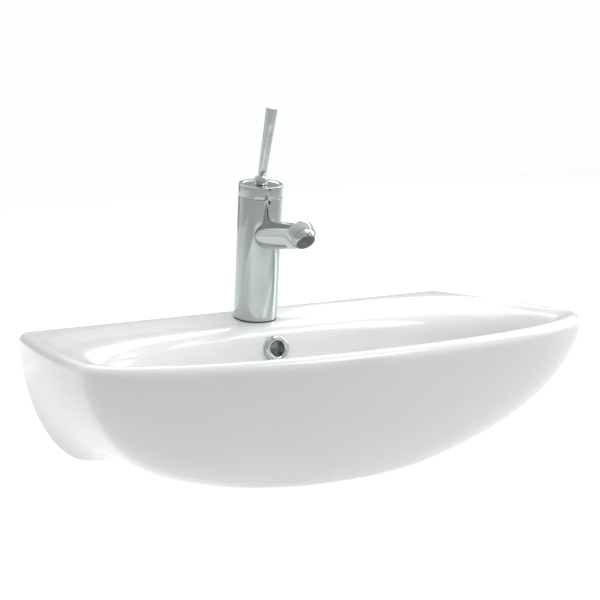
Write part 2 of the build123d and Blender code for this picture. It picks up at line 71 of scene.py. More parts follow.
# Tap
TAP_LEAN = math.radians(8.0)
TAP_ORIGIN = Vector((0, -36.0, RIM_Z - 3.0))
TAP_HOLE_RADIUS, TAP_RADIUS = 17.5, 25.0

# Wall fixings
FIXING_SPACING, FIXING_HOLE_RADIUS = 280.0, 7.0

# Frames of the tap, the waste and the overflow
def plane_matrix(origin, z_dir):
    """Frame with its z axis along z_dir and its x axis along the wall."""
    z = Vector(z_dir).normalized()
    x = (Vector((1, 0, 0)) - z * z.x).normalized()
    y = z.cross(x).normalized()
    matrix = Matrix((x, y, z)).transposed().to_4x4()
    matrix.translation = Vector(origin)
    return matrix


TAP_FRAME = plane_matrix(TAP_ORIGIN, (0, -math.sin(TAP_LEAN), math.cos(TAP_LEAN)))
WASTE_FRAME = Matrix.Translation((0, -WASTE_FROM_WALL, RIM_Z - BOWL_DEPTH - 3.0))
WASTE_BOSS_RADIUS, WASTE_BOSS_LOW, WASTE_HOLE_RADIUS, WASTE_RECESS_RADIUS = 35.0, -25.0, 23.0, 32.3
OVERFLOW_TILT = math.radians(8.0)
OVERFLOW_NORMAL = Vector((0, -math.cos(OVERFLOW_TILT), math.sin(OVERFLOW_TILT)))
OVERFLOW_CENTRE = Vector((0, -87.0, RIM_Z - 32.0))
OVERFLOW_FRAME = plane_matrix(OVERFLOW_CENTRE, OVERFLOW_NORMAL)
OVERFLOW_HOLE_RADIUS, OVERFLOW_SEAT_RADIUS = 11.5, 15.1
DUCT_RADIUS, DUCT_SKIN, DUCT_BEHIND_FACE = 6.5, 6.0, 19.0
DUCT_POINTS = [
    OVERFLOW_CENTRE - OVERFLOW_NORMAL * DUCT_BEHIND_FACE,
    Vector((0, -75.0, RIM_Z - 62.0)),
    Vector((0, -91.0, RIM_Z - 90.0)),
    Vector((0, -116.0, RIM_Z - 110.0)),
    Vector((0, -155.0, RIM_Z - 115.0)),
]

# Tap pieces, in the tap's own frame: heights above the deck, radii and slopes
BASE_SEAL, RECESS_RADIUS, RECESS_TOP = 1.5, 18.5, 14.0
TAP_HEIGHT, CAP_BOTTOM, BODY_TOP = 156.0, 142.4, 141.8
THROAT_RADIUS, CARTRIDGE_RADIUS, CARTRIDGE_LOW, CARTRIDGE_TOP = 20.0, 17.58, 110.0, 134.0
SPOUT_HEIGHT, SPOUT_RISE, SPOUT_ROOT, SPOUT_TIP = 96.8, 12.4, 16.2, 13.8
BALL_FROM_AXIS, BALL_RADIUS = 104.0, 13.8
COLLAR_DIP, COLLAR_RADIUS, COLLAR_BACK, COLLAR_FRONT = 25.0, 15.2, 9.5, 2.5
NOZZLE_DIP, NOZZLE_FACE, AERATOR_RADIUS, AERATOR_DEPTH = 35.0, 8.4, 10.6, 7.0
WEAVE_PITCH, WEAVE_LIFT, WIRE_RADIUS = 1.25, 0.17, 0.2
LIP_WIDTH, DISH_Z, PLATE_Z = 4.0, 154.8, 152.0
LEVER_BALL, LEVER_BALL_FLAT, LEVER_PIVOT, LEVER_LEAN = 7.8, 6.6, 159.5, 12.0
LEVER_REACH, LEVER_FOOT, LEVER_TIP = 88.0, 4.6, 6.4
OVERFLOW_RING_RADIUS, OVERFLOW_RING_BORE, OVERFLOW_RING_HEIGHT = 14.8, 8.5, 4.2


def forward(local_origin, degrees):
    """Frame in the tap whose axis points to the user, raised by an angle."""
    tilt = math.radians(degrees)
    return TAP_FRAME @ plane_matrix(local_origin, (0, -math.cos(tilt), math.sin(tilt)))


SPOUT_FRAME = forward((0, 0, SPOUT_HEIGHT), SPOUT_RISE)
BALL_CENTRE = SPOUT_FRAME @ Vector((0, 0, BALL_FROM_AXIS))
BALL_LOCAL = TAP_FRAME.inverted() @ BALL_CENTRE
COLLAR_FRAME = forward(BALL_LOCAL, -COLLAR_DIP)
NOZZLE_FRAME = forward(BALL_LOCAL, -NOZZLE_DIP)
LEVER_FRAME = forward((0, 0, LEVER_PIVOT), 90 - LEVER_LEAN)

FLOOR_Z = -0.77
DIM_SIDE = (-0.80, -0.45, -0.30)
SKY_BRIGHT, SKY_DIM = 1.0, 0.60
OVERHEAD_WATTS, FRONT_WATTS, SIDE_WATTS = 180.0, 17.0, 11.0
# The floor colour carries painted shade: greyest at the first y, faded to white at the second
FLOOR_SHADE_GREY_AT, FLOOR_SHADE_FADED_AT = -1.0, 2.5

# How finely the basin's rings are drawn
SIDE_STEPS, FRONT_STEPS, WALL_STEPS = 24, 64, 60


def swell(fraction, power):
    return max(0.0, 1.0 - fraction**power) ** (1.0 / power)


def superellipse(angle, along_x, along_y, power):
    across = (np.abs(np.cos(angle)) / along_x) ** power
    down = (np.abs(np.sin(angle)) / along_y) ** power
    return (across + down) ** (-1.0 / power)


def skin_ring(level, inset=0.0, front_inset=0.0, back_line=0.0, lift=0.0):
    """Closed plan of the skin: right wall corner, round the front, left wall corner, back along the wall."""
    half_wall = FOOT_WIDTH_AT_WALL / 2 + (WIDTH_AT_WALL - FOOT_WIDTH_AT_WALL) / 2 * swell(level, WALL_SWELL)
    half_width = FOOT_WIDTH / 2 + (BASIN_WIDTH - FOOT_WIDTH) / 2 * swell(level, SIDE_SWELL)
    waist = FOOT_WAIST + (WIDEST_FROM_WALL - FOOT_WAIST) * swell(level, WAIST_SWELL)
    depth = FOOT_PROJECTION + (PROJECTION - FOOT_PROJECTION) * swell(level, FRONT_SWELL)
    power = FOOT_POWER + (RIM_POWER - FOOT_POWER) * swell(level, 2.0)
    half_wall, half_width = half_wall - inset, half_width - inset
    waist, depth = waist - back_line, depth - front_inset - back_line
    share = np.arange(SIDE_STEPS) / SIDE_STEPS
    side_x = half_wall + (half_width - half_wall) * (1 - (1 - share) ** 2)
    side_y = -waist * share
    angle = np.radians(90) * np.arange(FRONT_STEPS + 1) / FRONT_STEPS
    radius = superellipse(angle, half_width, depth - waist, power)
    x = np.concatenate([side_x, radius * np.cos(angle)])
    y = np.concatenate([side_y, -waist - radius * np.sin(angle)])
    x, y = np.concatenate([x, -x[-2::-1]]), np.concatenate([y, y[-2::-1]])
    wall = -1 + 2 * np.arange(1, WALL_STEPS) / WALL_STEPS
    x = np.concatenate([x, wall * half_wall])
    y = np.concatenate([y, np.zeros(WALL_STEPS - 1)]) - back_line
    z = RIM_Z - BASIN_HEIGHT * level + lift + FRONT_RIM_RISE * (1 - level) * -(y + back_line) / PROJECTION
    return np.stack([x, y, z], axis=1)


def bowl_ring(angles, half_width, back, front, waist, power_back, power_front, z_back, z_front):
    behind = np.sin(angles) > 0
    along_y = np.where(behind, waist - back, front - waist)
    power = np.where(behind, power_back, power_front)
    radius = superellipse(angles, half_width, along_y, power)
    x = radius * np.cos(angles)
    y = -waist + radius * np.sin(angles)
    share = (-y - back) / (front - back)
    return np.stack([x, y, z_back + (z_front - z_back) * share], axis=1)


def rim_plane_z(from_wall):
    return RIM_Z + FRONT_RIM_RISE * from_wall / PROJECTION


def deck_z(from_wall):
    return rim_plane_z(CREST_INSET) - DECK_SLOPE * (from_wall - CREST_INSET)


def lip_rings(angles):
    half_lip = BASIN_WIDTH / 2 - BOWL_SIDE_INSET
    front_lip = PROJECTION - BOWL_FRONT_INSET
    front_crest = PROJECTION - CREST_INSET
    rings = [
        bowl_ring(
            angles, BASIN_WIDTH / 2 - CREST_INSET, CREST_INSET, front_crest, WIDEST_FROM_WALL,
            CREST_POWER, RIM_POWER, rim_plane_z(CREST_INSET), rim_plane_z(front_crest),
        )
    ]
    for out, down, power in ((1.2, 0.0, 4.3), (0.9, 0.1, 4.0), (0.43, 0.4, 3.4)):
        back = BOWL_BACK - BOWL_ROUND * (5 * out - 1.2) / 1.4
        rings.append(
            bowl_ring(
                angles, half_lip + BOWL_ROUND * out, back, front_lip + BOWL_ROUND * out, WIDEST_FROM_WALL,
                power, RIM_POWER, deck_z(back) - BOWL_ROUND * down * 0.3,
                RIM_Z + FRONT_RIM_RISE - BOWL_ROUND * (0.02 + down),
            )
        )
    return rings


def bowl_rings(angles, grow=0.0, drop=0.0):
    rings = []
    half_lip = BASIN_WIDTH / 2 - BOWL_SIDE_INSET
    front_lip = PROJECTION - BOWL_FRONT_INSET
    floor = BOWL_FLOOR_RADIUS
    for degrees in (0, 14, 28, 42, 56, 70, 82, 90):
        level = math.sin(math.radians(degrees))
        half = floor + (half_lip - floor) * swell(level, 2.0)
        front = WASTE_FROM_WALL + floor + (front_lip - WASTE_FROM_WALL - floor) * swell(level, 1.5)
        back = WASTE_FROM_WALL - floor - (WASTE_FROM_WALL - floor - BOWL_BACK) * swell(level, 2.0)
        waist = WASTE_FROM_WALL + (WIDEST_FROM_WALL - WASTE_FROM_WALL) * swell(level, 2.0)
        rings.append(
            bowl_ring(
                angles, half + grow, back - grow, front + grow, waist,
                2.0 + (BOWL_POWER_BACK - 2.0) * (1 - level), 2.0 + (BOWL_POWER_FRONT - 2.0) * (1 - level),
                RIM_Z - BOWL_LIP_BACK - (BOWL_DEPTH - BOWL_LIP_BACK) * level - drop,
                RIM_Z - BOWL_LIP_FRONT - (BOWL_DEPTH - BOWL_LIP_FRONT) * level - drop,
            )
        )
    return rings


def smooth_through(sections, steps):
    """Rings on a natural cubic through the sections, with so many steps between two of them."""
    points = np.array(sections)
    count = len(points)
    chord = np.linalg.norm(np.diff(points, axis=0), axis=2).mean(axis=1)
    at = np.concatenate([[0], np.cumsum(chord)])
    matrix = np.eye(count)
    rhs = np.zeros_like(points)
    for k in range(1, count - 1):
        before, after = at[k] - at[k - 1], at[k + 1] - at[k]
        matrix[k, k - 1 : k + 2] = before / 6, (before + after) / 3, after / 6
        rhs[k] = (points[k + 1] - points[k]) / after - (points[k] - points[k - 1]) / before
    bend = np.linalg.solve(matrix, rhs.reshape(count, -1)).reshape(points.shape)
    rings = [points[0]]
    for k in range(count - 1):
        span = at[k + 1] - at[k]
        for step in range(1, steps + 1):
            b = step / steps
            a = 1 - b
            curve = ((a**3 - a) * bend[k] + (b**3 - b) * bend[k + 1]) * span**2 / 6
            rings.append(a * points[k] + b * points[k + 1] + curve)
    return rings


def ring_mesh(name, rings):
    """Closed mesh through the rings, with a flat face over the first and the last."""
    count = len(rings[0])
    vertices = np.concatenate(rings) * MM
    faces = []
    for r in range(len(rings) - 1):
        for i in range(count):
            j = (i + 1) % count
            faces.append((r * count + i, r * count + j, (r + 1) * count + j, (r + 1) * count + i))
    faces.append(tuple(range(count))[::-1])
    faces.append(tuple((len(rings) - 1) * count + i for i in range(count)))
    return mesh_object(name, vertices, faces)


def mesh_object(name, vertices, faces):
    mesh = bpy.data.meshes.new(name)
    mesh.from_pydata([tuple(v) for v in vertices], [], faces)
    bm = bmesh.new()
    bm.from_mesh(mesh)
    bmesh.ops.recalc_face_normals(bm, faces=bm.faces)
    bm.to_mesh(mesh)
    bm.free()
    obj = bpy.data.objects.new(name, mesh)
    bpy.context.scene.collection.objects.link(obj)
    return obj


def lathe(name, profile, matrix=Matrix.Identity(4), segments=96):
    """Solid turned about z from a closed or axis-to-axis profile of (radius, height) points."""
    rings = []
    vertices, faces = [], []
    for radius, height in profile:
        if radius < 1e-6:
            rings.append([len(vertices)])
            vertices.append((0, 0, height))
            continue
        ring = []
        for s in range(segments):
            angle = 2 * math.pi * s / segments
            ring.append(len(vertices))
            vertices.append((radius * math.cos(angle), radius * math.sin(angle), height))
        rings.append(ring)
    pairs = list(zip(rings, rings[1:]))
    if len(rings[0]) > 1 and len(rings[-1]) > 1:
        pairs.append((rings[-1], rings[0]))
    for low, high in pairs:
        for s in range(segments):
            t = (s + 1) % segments
            a, b = low[s % len(low)], low[t % len(low)]
            c, d = high[t % len(high)], high[s % len(high)]
            corners = [a] + [v for v in (b, c, d) if v != a]
            face = tuple(dict.fromkeys(corners))
            if len(face) > 2:
                faces.append(face)
    placed = [matrix @ Vector(v) * 1.0 for v in vertices]
    return mesh_object(name, [tuple(v * MM) for v in placed], faces)


def cylinder(name, radius, low, high, matrix=Matrix.Identity(4), segments=96):
    return lathe(name, [(0, low), (radius, low), (radius, high), (0, high)], matrix, segments)


def ball(name, centre, radius, segments=48):
    profile = [
        (radius * math.sin(math.pi * k / segments), -radius * math.cos(math.pi * k / segments))
        for k in range(segments + 1)
    ]
    return lathe(name, profile, Matrix.Translation(Vector(centre)), segments)


def combine(target, tool, operation):
    """Boolean on the target; the tool is used up."""
    modifier = target.modifiers.new("cut", "BOOLEAN")
    modifier.operation = operation
    modifier.solver = "MANIFOLD"
    modifier.object = tool
    depsgraph = bpy.context.evaluated_depsgraph_get()
    mesh = bpy.data.meshes.new_from_object(target.evaluated_get(depsgraph))
    target.modifiers.clear()
    old = target.data
    target.data = mesh
    bpy.data.meshes.remove(old)
    bpy.data.objects.remove(tool)
    return target


def shade(obj, degrees=32):
    """Smooth shading with sharp edges where faces meet at more than the angle."""
    mesh = obj.data
    mesh.shade_smooth()
    mesh.set_sharp_from_angle(angle=math.radians(degrees))
    return obj


def rim_rounding(top, low):
    """Rings of the rim's rounding, from the skin to the flat top; top is the sharp outline, low a ring below."""
    count = 2 * (SIDE_STEPS + FRONT_STEPS) + 1
    outline = top[:count]
    along = np.gradient(outline, axis=0)
    along[:, 2] = 0
    along /= np.linalg.norm(along, axis=1)[:, None]
    inward = np.stack([along[:, 1], -along[:, 0], np.zeros(count)], axis=1)
    run = np.concatenate([[0], np.cumsum(np.linalg.norm(np.diff(outline, axis=0), axis=1))])
    fade = np.exp(-np.minimum(run, run[-1] - run) / RIM_ROUND)
    to_wall = np.where(np.abs(along[:, 1]) > 0.5, along[:, 1], np.inf)
    inward -= along * (inward[:, 1] / to_wall * fade)[:, None]
    inward[:, 2] = -inward[:, 1] * FRONT_RIM_RISE / PROJECTION
    down = low[:count] - outline
    down /= np.linalg.norm(down, axis=1)[:, None]
    opening = np.arccos(np.clip((down * inward).sum(axis=1) / np.linalg.norm(inward, axis=1), -1, 1))
    reach = np.minimum(RIM_ROUND / np.tan(opening / 2), CREST_INSET - 0.4)
    start, end = outline + down * reach[:, None], outline + inward * reach[:, None]
    weight = np.sin(opening / 2)[:, None]
    wall = np.arange(1, WALL_STEPS)[:, None] / WALL_STEPS
    rings = []
    for step in range(9):
        t = step / 8
        a, b, c = (1 - t) ** 2, 2 * t * (1 - t) * weight, t**2
        points = (start * a + outline * b + end * c) / (a + b + c)
        line = points[-1] * (1 - wall) + points[0] * wall
        rings.append(np.concatenate([points, line]))
    return rings


def basin_outside():
    """Skin, rim, deck and bowl in one closed surface."""
    sections = [skin_ring(level) for level in (1.0, 0.975, 0.9, 0.76, 0.6, 0.42, 0.25, 0.1, 0.0)]
    skin = smooth_through(sections, 6)
    rings = skin[:-6] + rim_rounding(skin[-1], skin[-7])
    last = rings[-1]
    angles = np.arctan2(last[:, 1] + WIDEST_FROM_WALL, last[:, 0])
    rings += smooth_through(lip_rings(angles) + bowl_rings(angles), 6)
    return ring_mesh("basin_body", rings)


def basin_hollow():
    """The open space under the deck and round the bowl."""
    levels = (0.22, 0.36, 0.52, 0.68, 0.82, 0.93, 1.0)
    sections = [skin_ring(level, SKIN, FRONT_SKIN, BACK_WALL, FOOT_LIP) for level in levels]
    rings = smooth_through(sections, 4)
    below = rings[-1] - np.array([0, 0, 2 * FOOT_LIP])
    space = ring_mesh("space", rings + [below])
    angles = np.radians(np.arange(0, 360, 2.5))
    clay_sections = bowl_rings(angles, SKIN + 1, SKIN)
    above = clay_sections[0] + np.array([0, 0, 2 * SKIN])
    clay = ring_mesh("clay", [above] + smooth_through(clay_sections, 4))
    combine(space, clay, "DIFFERENCE")
    combine(space, cylinder("boss", WASTE_BOSS_RADIUS, WASTE_BOSS_LOW, 0, WASTE_FRAME), "DIFFERENCE")
    duct_radius = DUCT_RADIUS + DUCT_SKIN
    for start, end in zip(DUCT_POINTS, DUCT_POINTS[1:]):
        leg = cylinder("duct", duct_radius, 0, (end - start).length, plane_matrix(start, end - start), 48)
        combine(space, leg, "DIFFERENCE")
        combine(space, ball("bend", end, duct_radius), "DIFFERENCE")
    neck = cylinder("neck", OVERFLOW_HOLE_RADIUS + DUCT_SKIN, -DUCT_BEHIND_FACE, 0, OVERFLOW_FRAME)
    combine(space, neck, "DIFFERENCE")
    return space


def make_basin():
    basin = basin_outside()
    combine(basin, basin_hollow(), "DIFFERENCE")
    combine(basin, cylinder("hole", TAP_HOLE_RADIUS, -60, 20, TAP_FRAME), "DIFFERENCE")
    combine(basin, cylinder("seat", TAP_RADIUS + 1, 0, 20, TAP_FRAME), "DIFFERENCE")
    combine(basin, cylinder("recess", WASTE_RECESS_RADIUS, 0, 9, WASTE_FRAME), "DIFFERENCE")
    combine(basin, cylinder("outlet", WASTE_HOLE_RADIUS, -60, 10, WASTE_FRAME), "DIFFERENCE")
    combine(basin, cylinder("seat", OVERFLOW_SEAT_RADIUS, 0, 12, OVERFLOW_FRAME), "DIFFERENCE")
    hole = cylinder("hole", OVERFLOW_HOLE_RADIUS, -DUCT_BEHIND_FACE, 1, OVERFLOW_FRAME)
    combine(basin, hole, "DIFFERENCE")
    for start, end in zip(DUCT_POINTS, DUCT_POINTS[1:]):
        leg = cylinder("duct", DUCT_RADIUS, 0, (end - start).length, plane_matrix(start, end - start), 48)
        combine(basin, leg, "DIFFERENCE")
        combine(basin, ball("bend", end, DUCT_RADIUS), "DIFFERENCE")
    for side in (-1, 1):
        wall = plane_matrix((side * FIXING_SPACING / 2, 5, 0), (0, -1, 0))
        combine(basin, cylinder("fixing", FIXING_HOLE_RADIUS, 0, BACK_WALL + 10, wall), "DIFFERENCE")
    return shade(basin)


def rounded(corners, steps=4):
    """Profile from (radius, height, rounding) corners, each rounding an arc-like curve of that reach."""
    points = []
    for k, (x, z, reach) in enumerate(corners):
        here = np.array([x, z])
        if not reach or k in (0, len(corners) - 1):
            points.append(here)
            continue
        before = np.array(corners[k - 1][:2]) - here
        after = np.array(corners[k + 1][:2]) - here
        start = here + before / np.linalg.norm(before) * reach
        end = here + after / np.linalg.norm(after) * reach
        for step in range(steps + 1):
            t = step / steps
            points.append((1 - t) ** 2 * start + 2 * t * (1 - t) * here + t**2 * end)
    return [(float(r), float(z)) for r, z in points]


def arc(centre_z, radius, start, end, steps=24):
    """Points on a circle about the axis; angles in degrees from straight down."""
    out = []
    for step in range(steps + 1):
        angle = math.radians(start + (end - start) * step / steps)
        out.append((max(0.0, radius * math.sin(angle)), centre_z - radius * math.cos(angle)))
    return out


def make_tap_body():
    corners = [
        (0, RECESS_TOP, 0), (RECESS_RADIUS, RECESS_TOP, 0), (RECESS_RADIUS, BASE_SEAL, 0),
        (TAP_RADIUS, BASE_SEAL, 0.6), (TAP_RADIUS, BODY_TOP, 0.5), (THROAT_RADIUS, BODY_TOP, 0.3),
        (THROAT_RADIUS, CARTRIDGE_TOP, 0), (CARTRIDGE_RADIUS, CARTRIDGE_TOP, 0),
        (CARTRIDGE_RADIUS, CARTRIDGE_LOW, 0), (0, CARTRIDGE_LOW, 0),
    ]
    body = lathe("tap_body_shell", rounded(corners), TAP_FRAME, 160)
    taper = (SPOUT_TIP - SPOUT_ROOT) / BALL_FROM_AXIS
    start = 12.0
    profile = [
        (0, start), (SPOUT_ROOT + taper * start, start), (SPOUT_TIP, BALL_FROM_AXIS), (0, BALL_FROM_AXIS)
    ]
    spout = lathe("spout", profile, SPOUT_FRAME, 128)
    combine(spout, cylinder("beyond", 40, -COLLAR_BACK, 60, COLLAR_FRAME), "DIFFERENCE")
    combine(spout, ball("seat", BALL_CENTRE, BALL_RADIUS + 0.3, 64), "DIFFERENCE")
    combine(body, spout, "UNION")
    return shade(body)


def make_spout_collar():
    seat = BALL_RADIUS + 0.08
    low, high = -COLLAR_BACK, COLLAR_FRONT
    inner = [
        (math.sqrt(seat**2 - z**2), z) for z in np.linspace(high - 0.001, low + 0.001, 14)
    ]
    corners = rounded(
        [
            (inner[-1][0], low, 0), (COLLAR_RADIUS, low, 0.5), (COLLAR_RADIUS, low + 5, 0.8),
            (COLLAR_RADIUS - 0.7, high, 0.35), (inner[0][0], high, 0),
        ]
    )
    return shade(lathe("nozzle_collar", corners + inner, COLLAR_FRAME, 128))


def make_nozzle_ball():
    edge = math.degrees(math.acos(-NOZZLE_FACE / BALL_RADIUS))
    sphere = arc(0, BALL_RADIUS, 0, edge - 1.2, 40)
    pocket = AERATOR_RADIUS + 0.08
    lip = [
        (math.sqrt(BALL_RADIUS**2 - NOZZLE_FACE**2) - 0.12, NOZZLE_FACE - 0.02),
        (pocket + 0.08, NOZZLE_FACE), (pocket, NOZZLE_FACE - 0.15),
        (pocket, NOZZLE_FACE - AERATOR_DEPTH), (0, NOZZLE_FACE - AERATOR_DEPTH),
    ]
    return shade(lathe("nozzle_ball", sphere + lip, NOZZLE_FRAME, 128))


def add_wire(mesh, path, side, radius, sides=6):
    """One wire of the mesh: a closed tube along a nearly straight path."""
    up = Vector((0, 0, 1))
    rings = []
    for point in path:
        angles = [2 * math.pi * k / sides for k in range(sides)]
        rings.append([mesh.verts.new(point + (side * math.cos(a) + up * math.sin(a)) * radius) for a in angles])
    for low, high in zip(rings, rings[1:]):
        for k in range(sides):
            mesh.faces.new((low[k], low[(k + 1) % sides], high[(k + 1) % sides], high[k]))
    mesh.faces.new(rings[0][::-1])
    mesh.faces.new(rings[-1])


def make_aerator_weave():
    """Woven wire cloth in the nozzle's mouth, one wire over and one under."""
    reach = AERATOR_RADIUS - 1.4
    count = int(reach / WEAVE_PITCH)
    mesh = bmesh.new()
    for k in range(-count, count + 1):
        offset = k * WEAVE_PITCH
        half = math.sqrt(reach**2 - offset**2)
        steps = max(4, round(8 * half / WEAVE_PITCH))
        for along, across, phase in ((Vector((1, 0, 0)), Vector((0, 1, 0)), 1), (Vector((0, 1, 0)), Vector((1, 0, 0)), -1)):
            path = []
            for step in range(steps + 1):
                s = -half + 2 * half * step / steps
                lift = phase * WEAVE_LIFT * math.cos(math.pi * s / WEAVE_PITCH) * (-1) ** k
                path.append(along * s + across * offset + Vector((0, 0, NOZZLE_FACE - 1.0 + lift)))
            add_wire(mesh, path, across, WIRE_RADIUS)
    bmesh.ops.recalc_face_normals(mesh, faces=mesh.faces)
    data = bpy.data.meshes.new("aerator_weave")
    mesh.to_mesh(data)
    mesh.free()
    data.transform(Matrix.Scale(MM, 4) @ NOZZLE_FRAME)
    data.shade_smooth()
    weave = bpy.data.objects.new("aerator_weave", data)
    bpy.context.scene.collection.objects.link(weave)
    return weave


def make_handle_cap():
    dish_edge = TAP_RADIUS - LIP_WIDTH
    seat = LEVER_BALL + 0.3
    drop = LEVER_PIVOT - DISH_Z
    corners = rounded(
        [
            (TAP_RADIUS - 3, CAP_BOTTOM, 0), (TAP_RADIUS, CAP_BOTTOM, 0.5), (TAP_RADIUS, TAP_HEIGHT, 0.9),
            (dish_edge, TAP_HEIGHT, 0.4), (dish_edge - 1.4, DISH_Z, 0.6),
            (math.sqrt(seat**2 - drop**2), DISH_Z, 0.25), (5.6, LEVER_PIVOT - math.sqrt(seat**2 - 5.6**2), 0),
            (5.6, PLATE_Z, 0), (TAP_RADIUS - 3, PLATE_Z, 0),
        ]
    )
    return shade(lathe("turning_cap", corners, TAP_FRAME, 160))


def make_lever_ball():
    flat = math.degrees(math.acos(LEVER_BALL_FLAT / LEVER_BALL))
    points = [(0, -LEVER_BALL_FLAT)] + arc(0, LEVER_BALL, flat, 180 - flat, 40) + [(0, LEVER_BALL_FLAT)]
    return shade(lathe("rocking_ball", points, LEVER_FRAME, 96))


def make_lever_pin():
    corners = [
        (0, LEVER_BALL_FLAT, 0), (LEVER_FOOT, LEVER_BALL_FLAT, 0.4), (LEVER_TIP, LEVER_REACH, 0.7),
        (0, LEVER_REACH, 0),
    ]
    return shade(lathe("lever", rounded(corners), LEVER_FRAME, 96))


def make_overflow_ring():
    crown = (OVERFLOW_RING_BORE + OVERFLOW_RING_RADIUS) / 2
    half = (OVERFLOW_RING_RADIUS - OVERFLOW_RING_BORE) / 2
    height = OVERFLOW_RING_HEIGHT - 0.8
    dome = []
    for step in range(25):
        angle = math.pi * step / 24
        dome.append((crown + half * math.cos(angle), 0.8 + height * math.sin(angle) ** 0.8))
    sleeve = OVERFLOW_HOLE_RADIUS - 0.3
    inside = [
        (OVERFLOW_RING_BORE, -1.0), (sleeve - 1.4, -1.0), (sleeve - 1.4, -12.0), (sleeve, -12.0),
        (sleeve, 0.0), (OVERFLOW_RING_RADIUS, 0.0),
    ]
    return shade(lathe("overflow_trim", dome + inside, OVERFLOW_FRAME, 128), 40)


def material(name, base, metallic=0.0, roughness=0.5):
    """Principled material with its own texture coordinates in metres."""
    made = bpy.data.materials.new(name)
    made.use_nodes = True
    shader = made.node_tree.nodes["Principled BSDF"]
    shader.inputs["Base Color"].default_value = (*base, 1)
    shader.inputs["Metallic"].default_value = metallic
    shader.inputs["Roughness"].default_value = roughness
    place = made.node_tree.nodes.new("ShaderNodeTexCoord")
    return made, shader, place.outputs["Object"]


def noise(made, place, per_metre, detail=3.0, stretch=(1, 1, 1)):
    mapping = made.node_tree.nodes.new("ShaderNodeMapping")
    mapping.inputs["Scale"].default_value = stretch
    texture = made.node_tree.nodes.new("ShaderNodeTexNoise")
    texture.inputs["Scale"].default_value = per_metre
    texture.inputs["Detail"].default_value = detail
    made.node_tree.links.new(place, mapping.inputs["Vector"])
    made.node_tree.links.new(mapping.outputs["Vector"], texture.inputs["Vector"])
    return texture.outputs["Fac"]


def spread(made, value, low, high, start=0.3, end=0.7):
    """Map a 0 to 1 pattern to a range of numbers."""
    node = made.node_tree.nodes.new("ShaderNodeMapRange")
    node.inputs["From Min"].default_value = start
    node.inputs["From Max"].default_value = end
    node.inputs["To Min"].default_value = low
    node.inputs["To Max"].default_value = high
    made.node_tree.links.new(value, node.inputs["Value"])
    return node.outputs["Result"]


def tint(made, value, first, second, start=0.3, end=0.7):
    ramp = made.node_tree.nodes.new("ShaderNodeValToRGB")
    ramp.color_ramp.elements[0].position = start
    ramp.color_ramp.elements[1].position = end
    ramp.color_ramp.elements[0].color = (*first, 1)
    ramp.color_ramp.elements[1].color = (*second, 1)
    made.node_tree.links.new(value, ramp.inputs["Fac"])
    return ramp.outputs["Color"]


def bump(made, shader, value, height, strength=1.0):
    node = made.node_tree.nodes.new("ShaderNodeBump")
    node.inputs["Distance"].default_value = height
    node.inputs["Strength"].default_value = strength
    made.node_tree.links.new(value, node.inputs["Height"])
    made.node_tree.links.new(node.outputs["Normal"], shader.inputs["Normal"])


def glaze():
    """White sanitary glaze: a wet gloss coat over a body that varies very slightly in tone."""
    made, shader, place = material("white_glaze", (0.80, 0.805, 0.805), roughness=0.16)
    links = made.node_tree.links
    links.new(tint(made, noise(made, place, 9.0), (0.785, 0.79, 0.79), (0.815, 0.82, 0.82)), shader.inputs["Base Color"])
    links.new(spread(made, noise(made, place, 35.0), 0.12, 0.22), shader.inputs["Roughness"])
    shader.inputs["Coat Weight"].default_value = 0.6
    shader.inputs["Coat Roughness"].default_value = 0.04
    shader.inputs["IOR"].default_value = 1.52
    bump(made, shader, noise(made, place, 60.0, 2.0), 0.00012)
    return made


def polished_chrome():
    """Chrome plate: hairline polishing marks and a faint cloudiness from handling."""
    made, shader, place = material("polished_chrome", (0.50, 0.54, 0.53), metallic=1.0, roughness=0.06)
    links = made.node_tree.links
    links.new(spread(made, noise(made, place, 120.0, 4.0), 0.035, 0.10), shader.inputs["Roughness"])
    links.new(tint(made, noise(made, place, 25.0), (0.48, 0.525, 0.51), (0.53, 0.57, 0.555)), shader.inputs["Base Color"])
    bump(made, shader, noise(made, place, 300.0, 2.0, (1, 1, 0.2)), 0.00001)
    return made


def black_rubber():
    made, shader, place = material("black_rubber", (0.03, 0.03, 0.032), roughness=0.75)
    links = made.node_tree.links
    links.new(spread(made, noise(made, place, 400.0), 0.6, 0.85), shader.inputs["Roughness"])
    links.new(tint(made, noise(made, place, 150.0), (0.022, 0.022, 0.024), (0.045, 0.045, 0.047)), shader.inputs["Base Color"])
    bump(made, shader, noise(made, place, 1500.0), 0.00005)
    return made


def moulded_plastic(name, dark, light):
    made, shader, place = material(name, light, roughness=0.45)
    links = made.node_tree.links
    links.new(tint(made, noise(made, place, 80.0), dark, light), shader.inputs["Base Color"])
    links.new(spread(made, noise(made, place, 500.0), 0.38, 0.55), shader.inputs["Roughness"])
    bump(made, shader, noise(made, place, 900.0), 0.00003)
    return made


def plated_steel(name, dark, light):
    made, shader, place = material(name, light, metallic=1.0, roughness=0.35)
    links = made.node_tree.links
    links.new(tint(made, noise(made, place, 60.0), dark, light), shader.inputs["Base Color"])
    links.new(spread(made, noise(made, place, 700.0, 3.0, (1, 1, 0.1)), 0.25, 0.45), shader.inputs["Roughness"])
    bump(made, shader, noise(made, place, 900.0, 3.0, (1, 1, 0.1)), 0.00003)
    return made


def pale_floor():
    """Floor with painted shade: light grey in front of the object and paling to white behind it."""
    made, shader, place = material("pale_floor", (0.72, 0.72, 0.72), roughness=0.7)
    links = made.node_tree.links
    split = made.node_tree.nodes.new("ShaderNodeSeparateXYZ")
    links.new(place, split.inputs["Vector"])
    # painted shade: the floor is greyer in front of the object, where less light is meant to fall
    behind = spread(made, split.outputs["Y"], 0.0, 1.0, FLOOR_SHADE_GREY_AT, FLOOR_SHADE_FADED_AT)
    links.new(tint(made, behind, (0.62, 0.62, 0.62), (0.97, 0.97, 0.97), 0.0, 1.0), shader.inputs["Base Color"])
    return made


def dress(obj, made):
    obj.data.materials.clear()
    obj.data.materials.append(made)


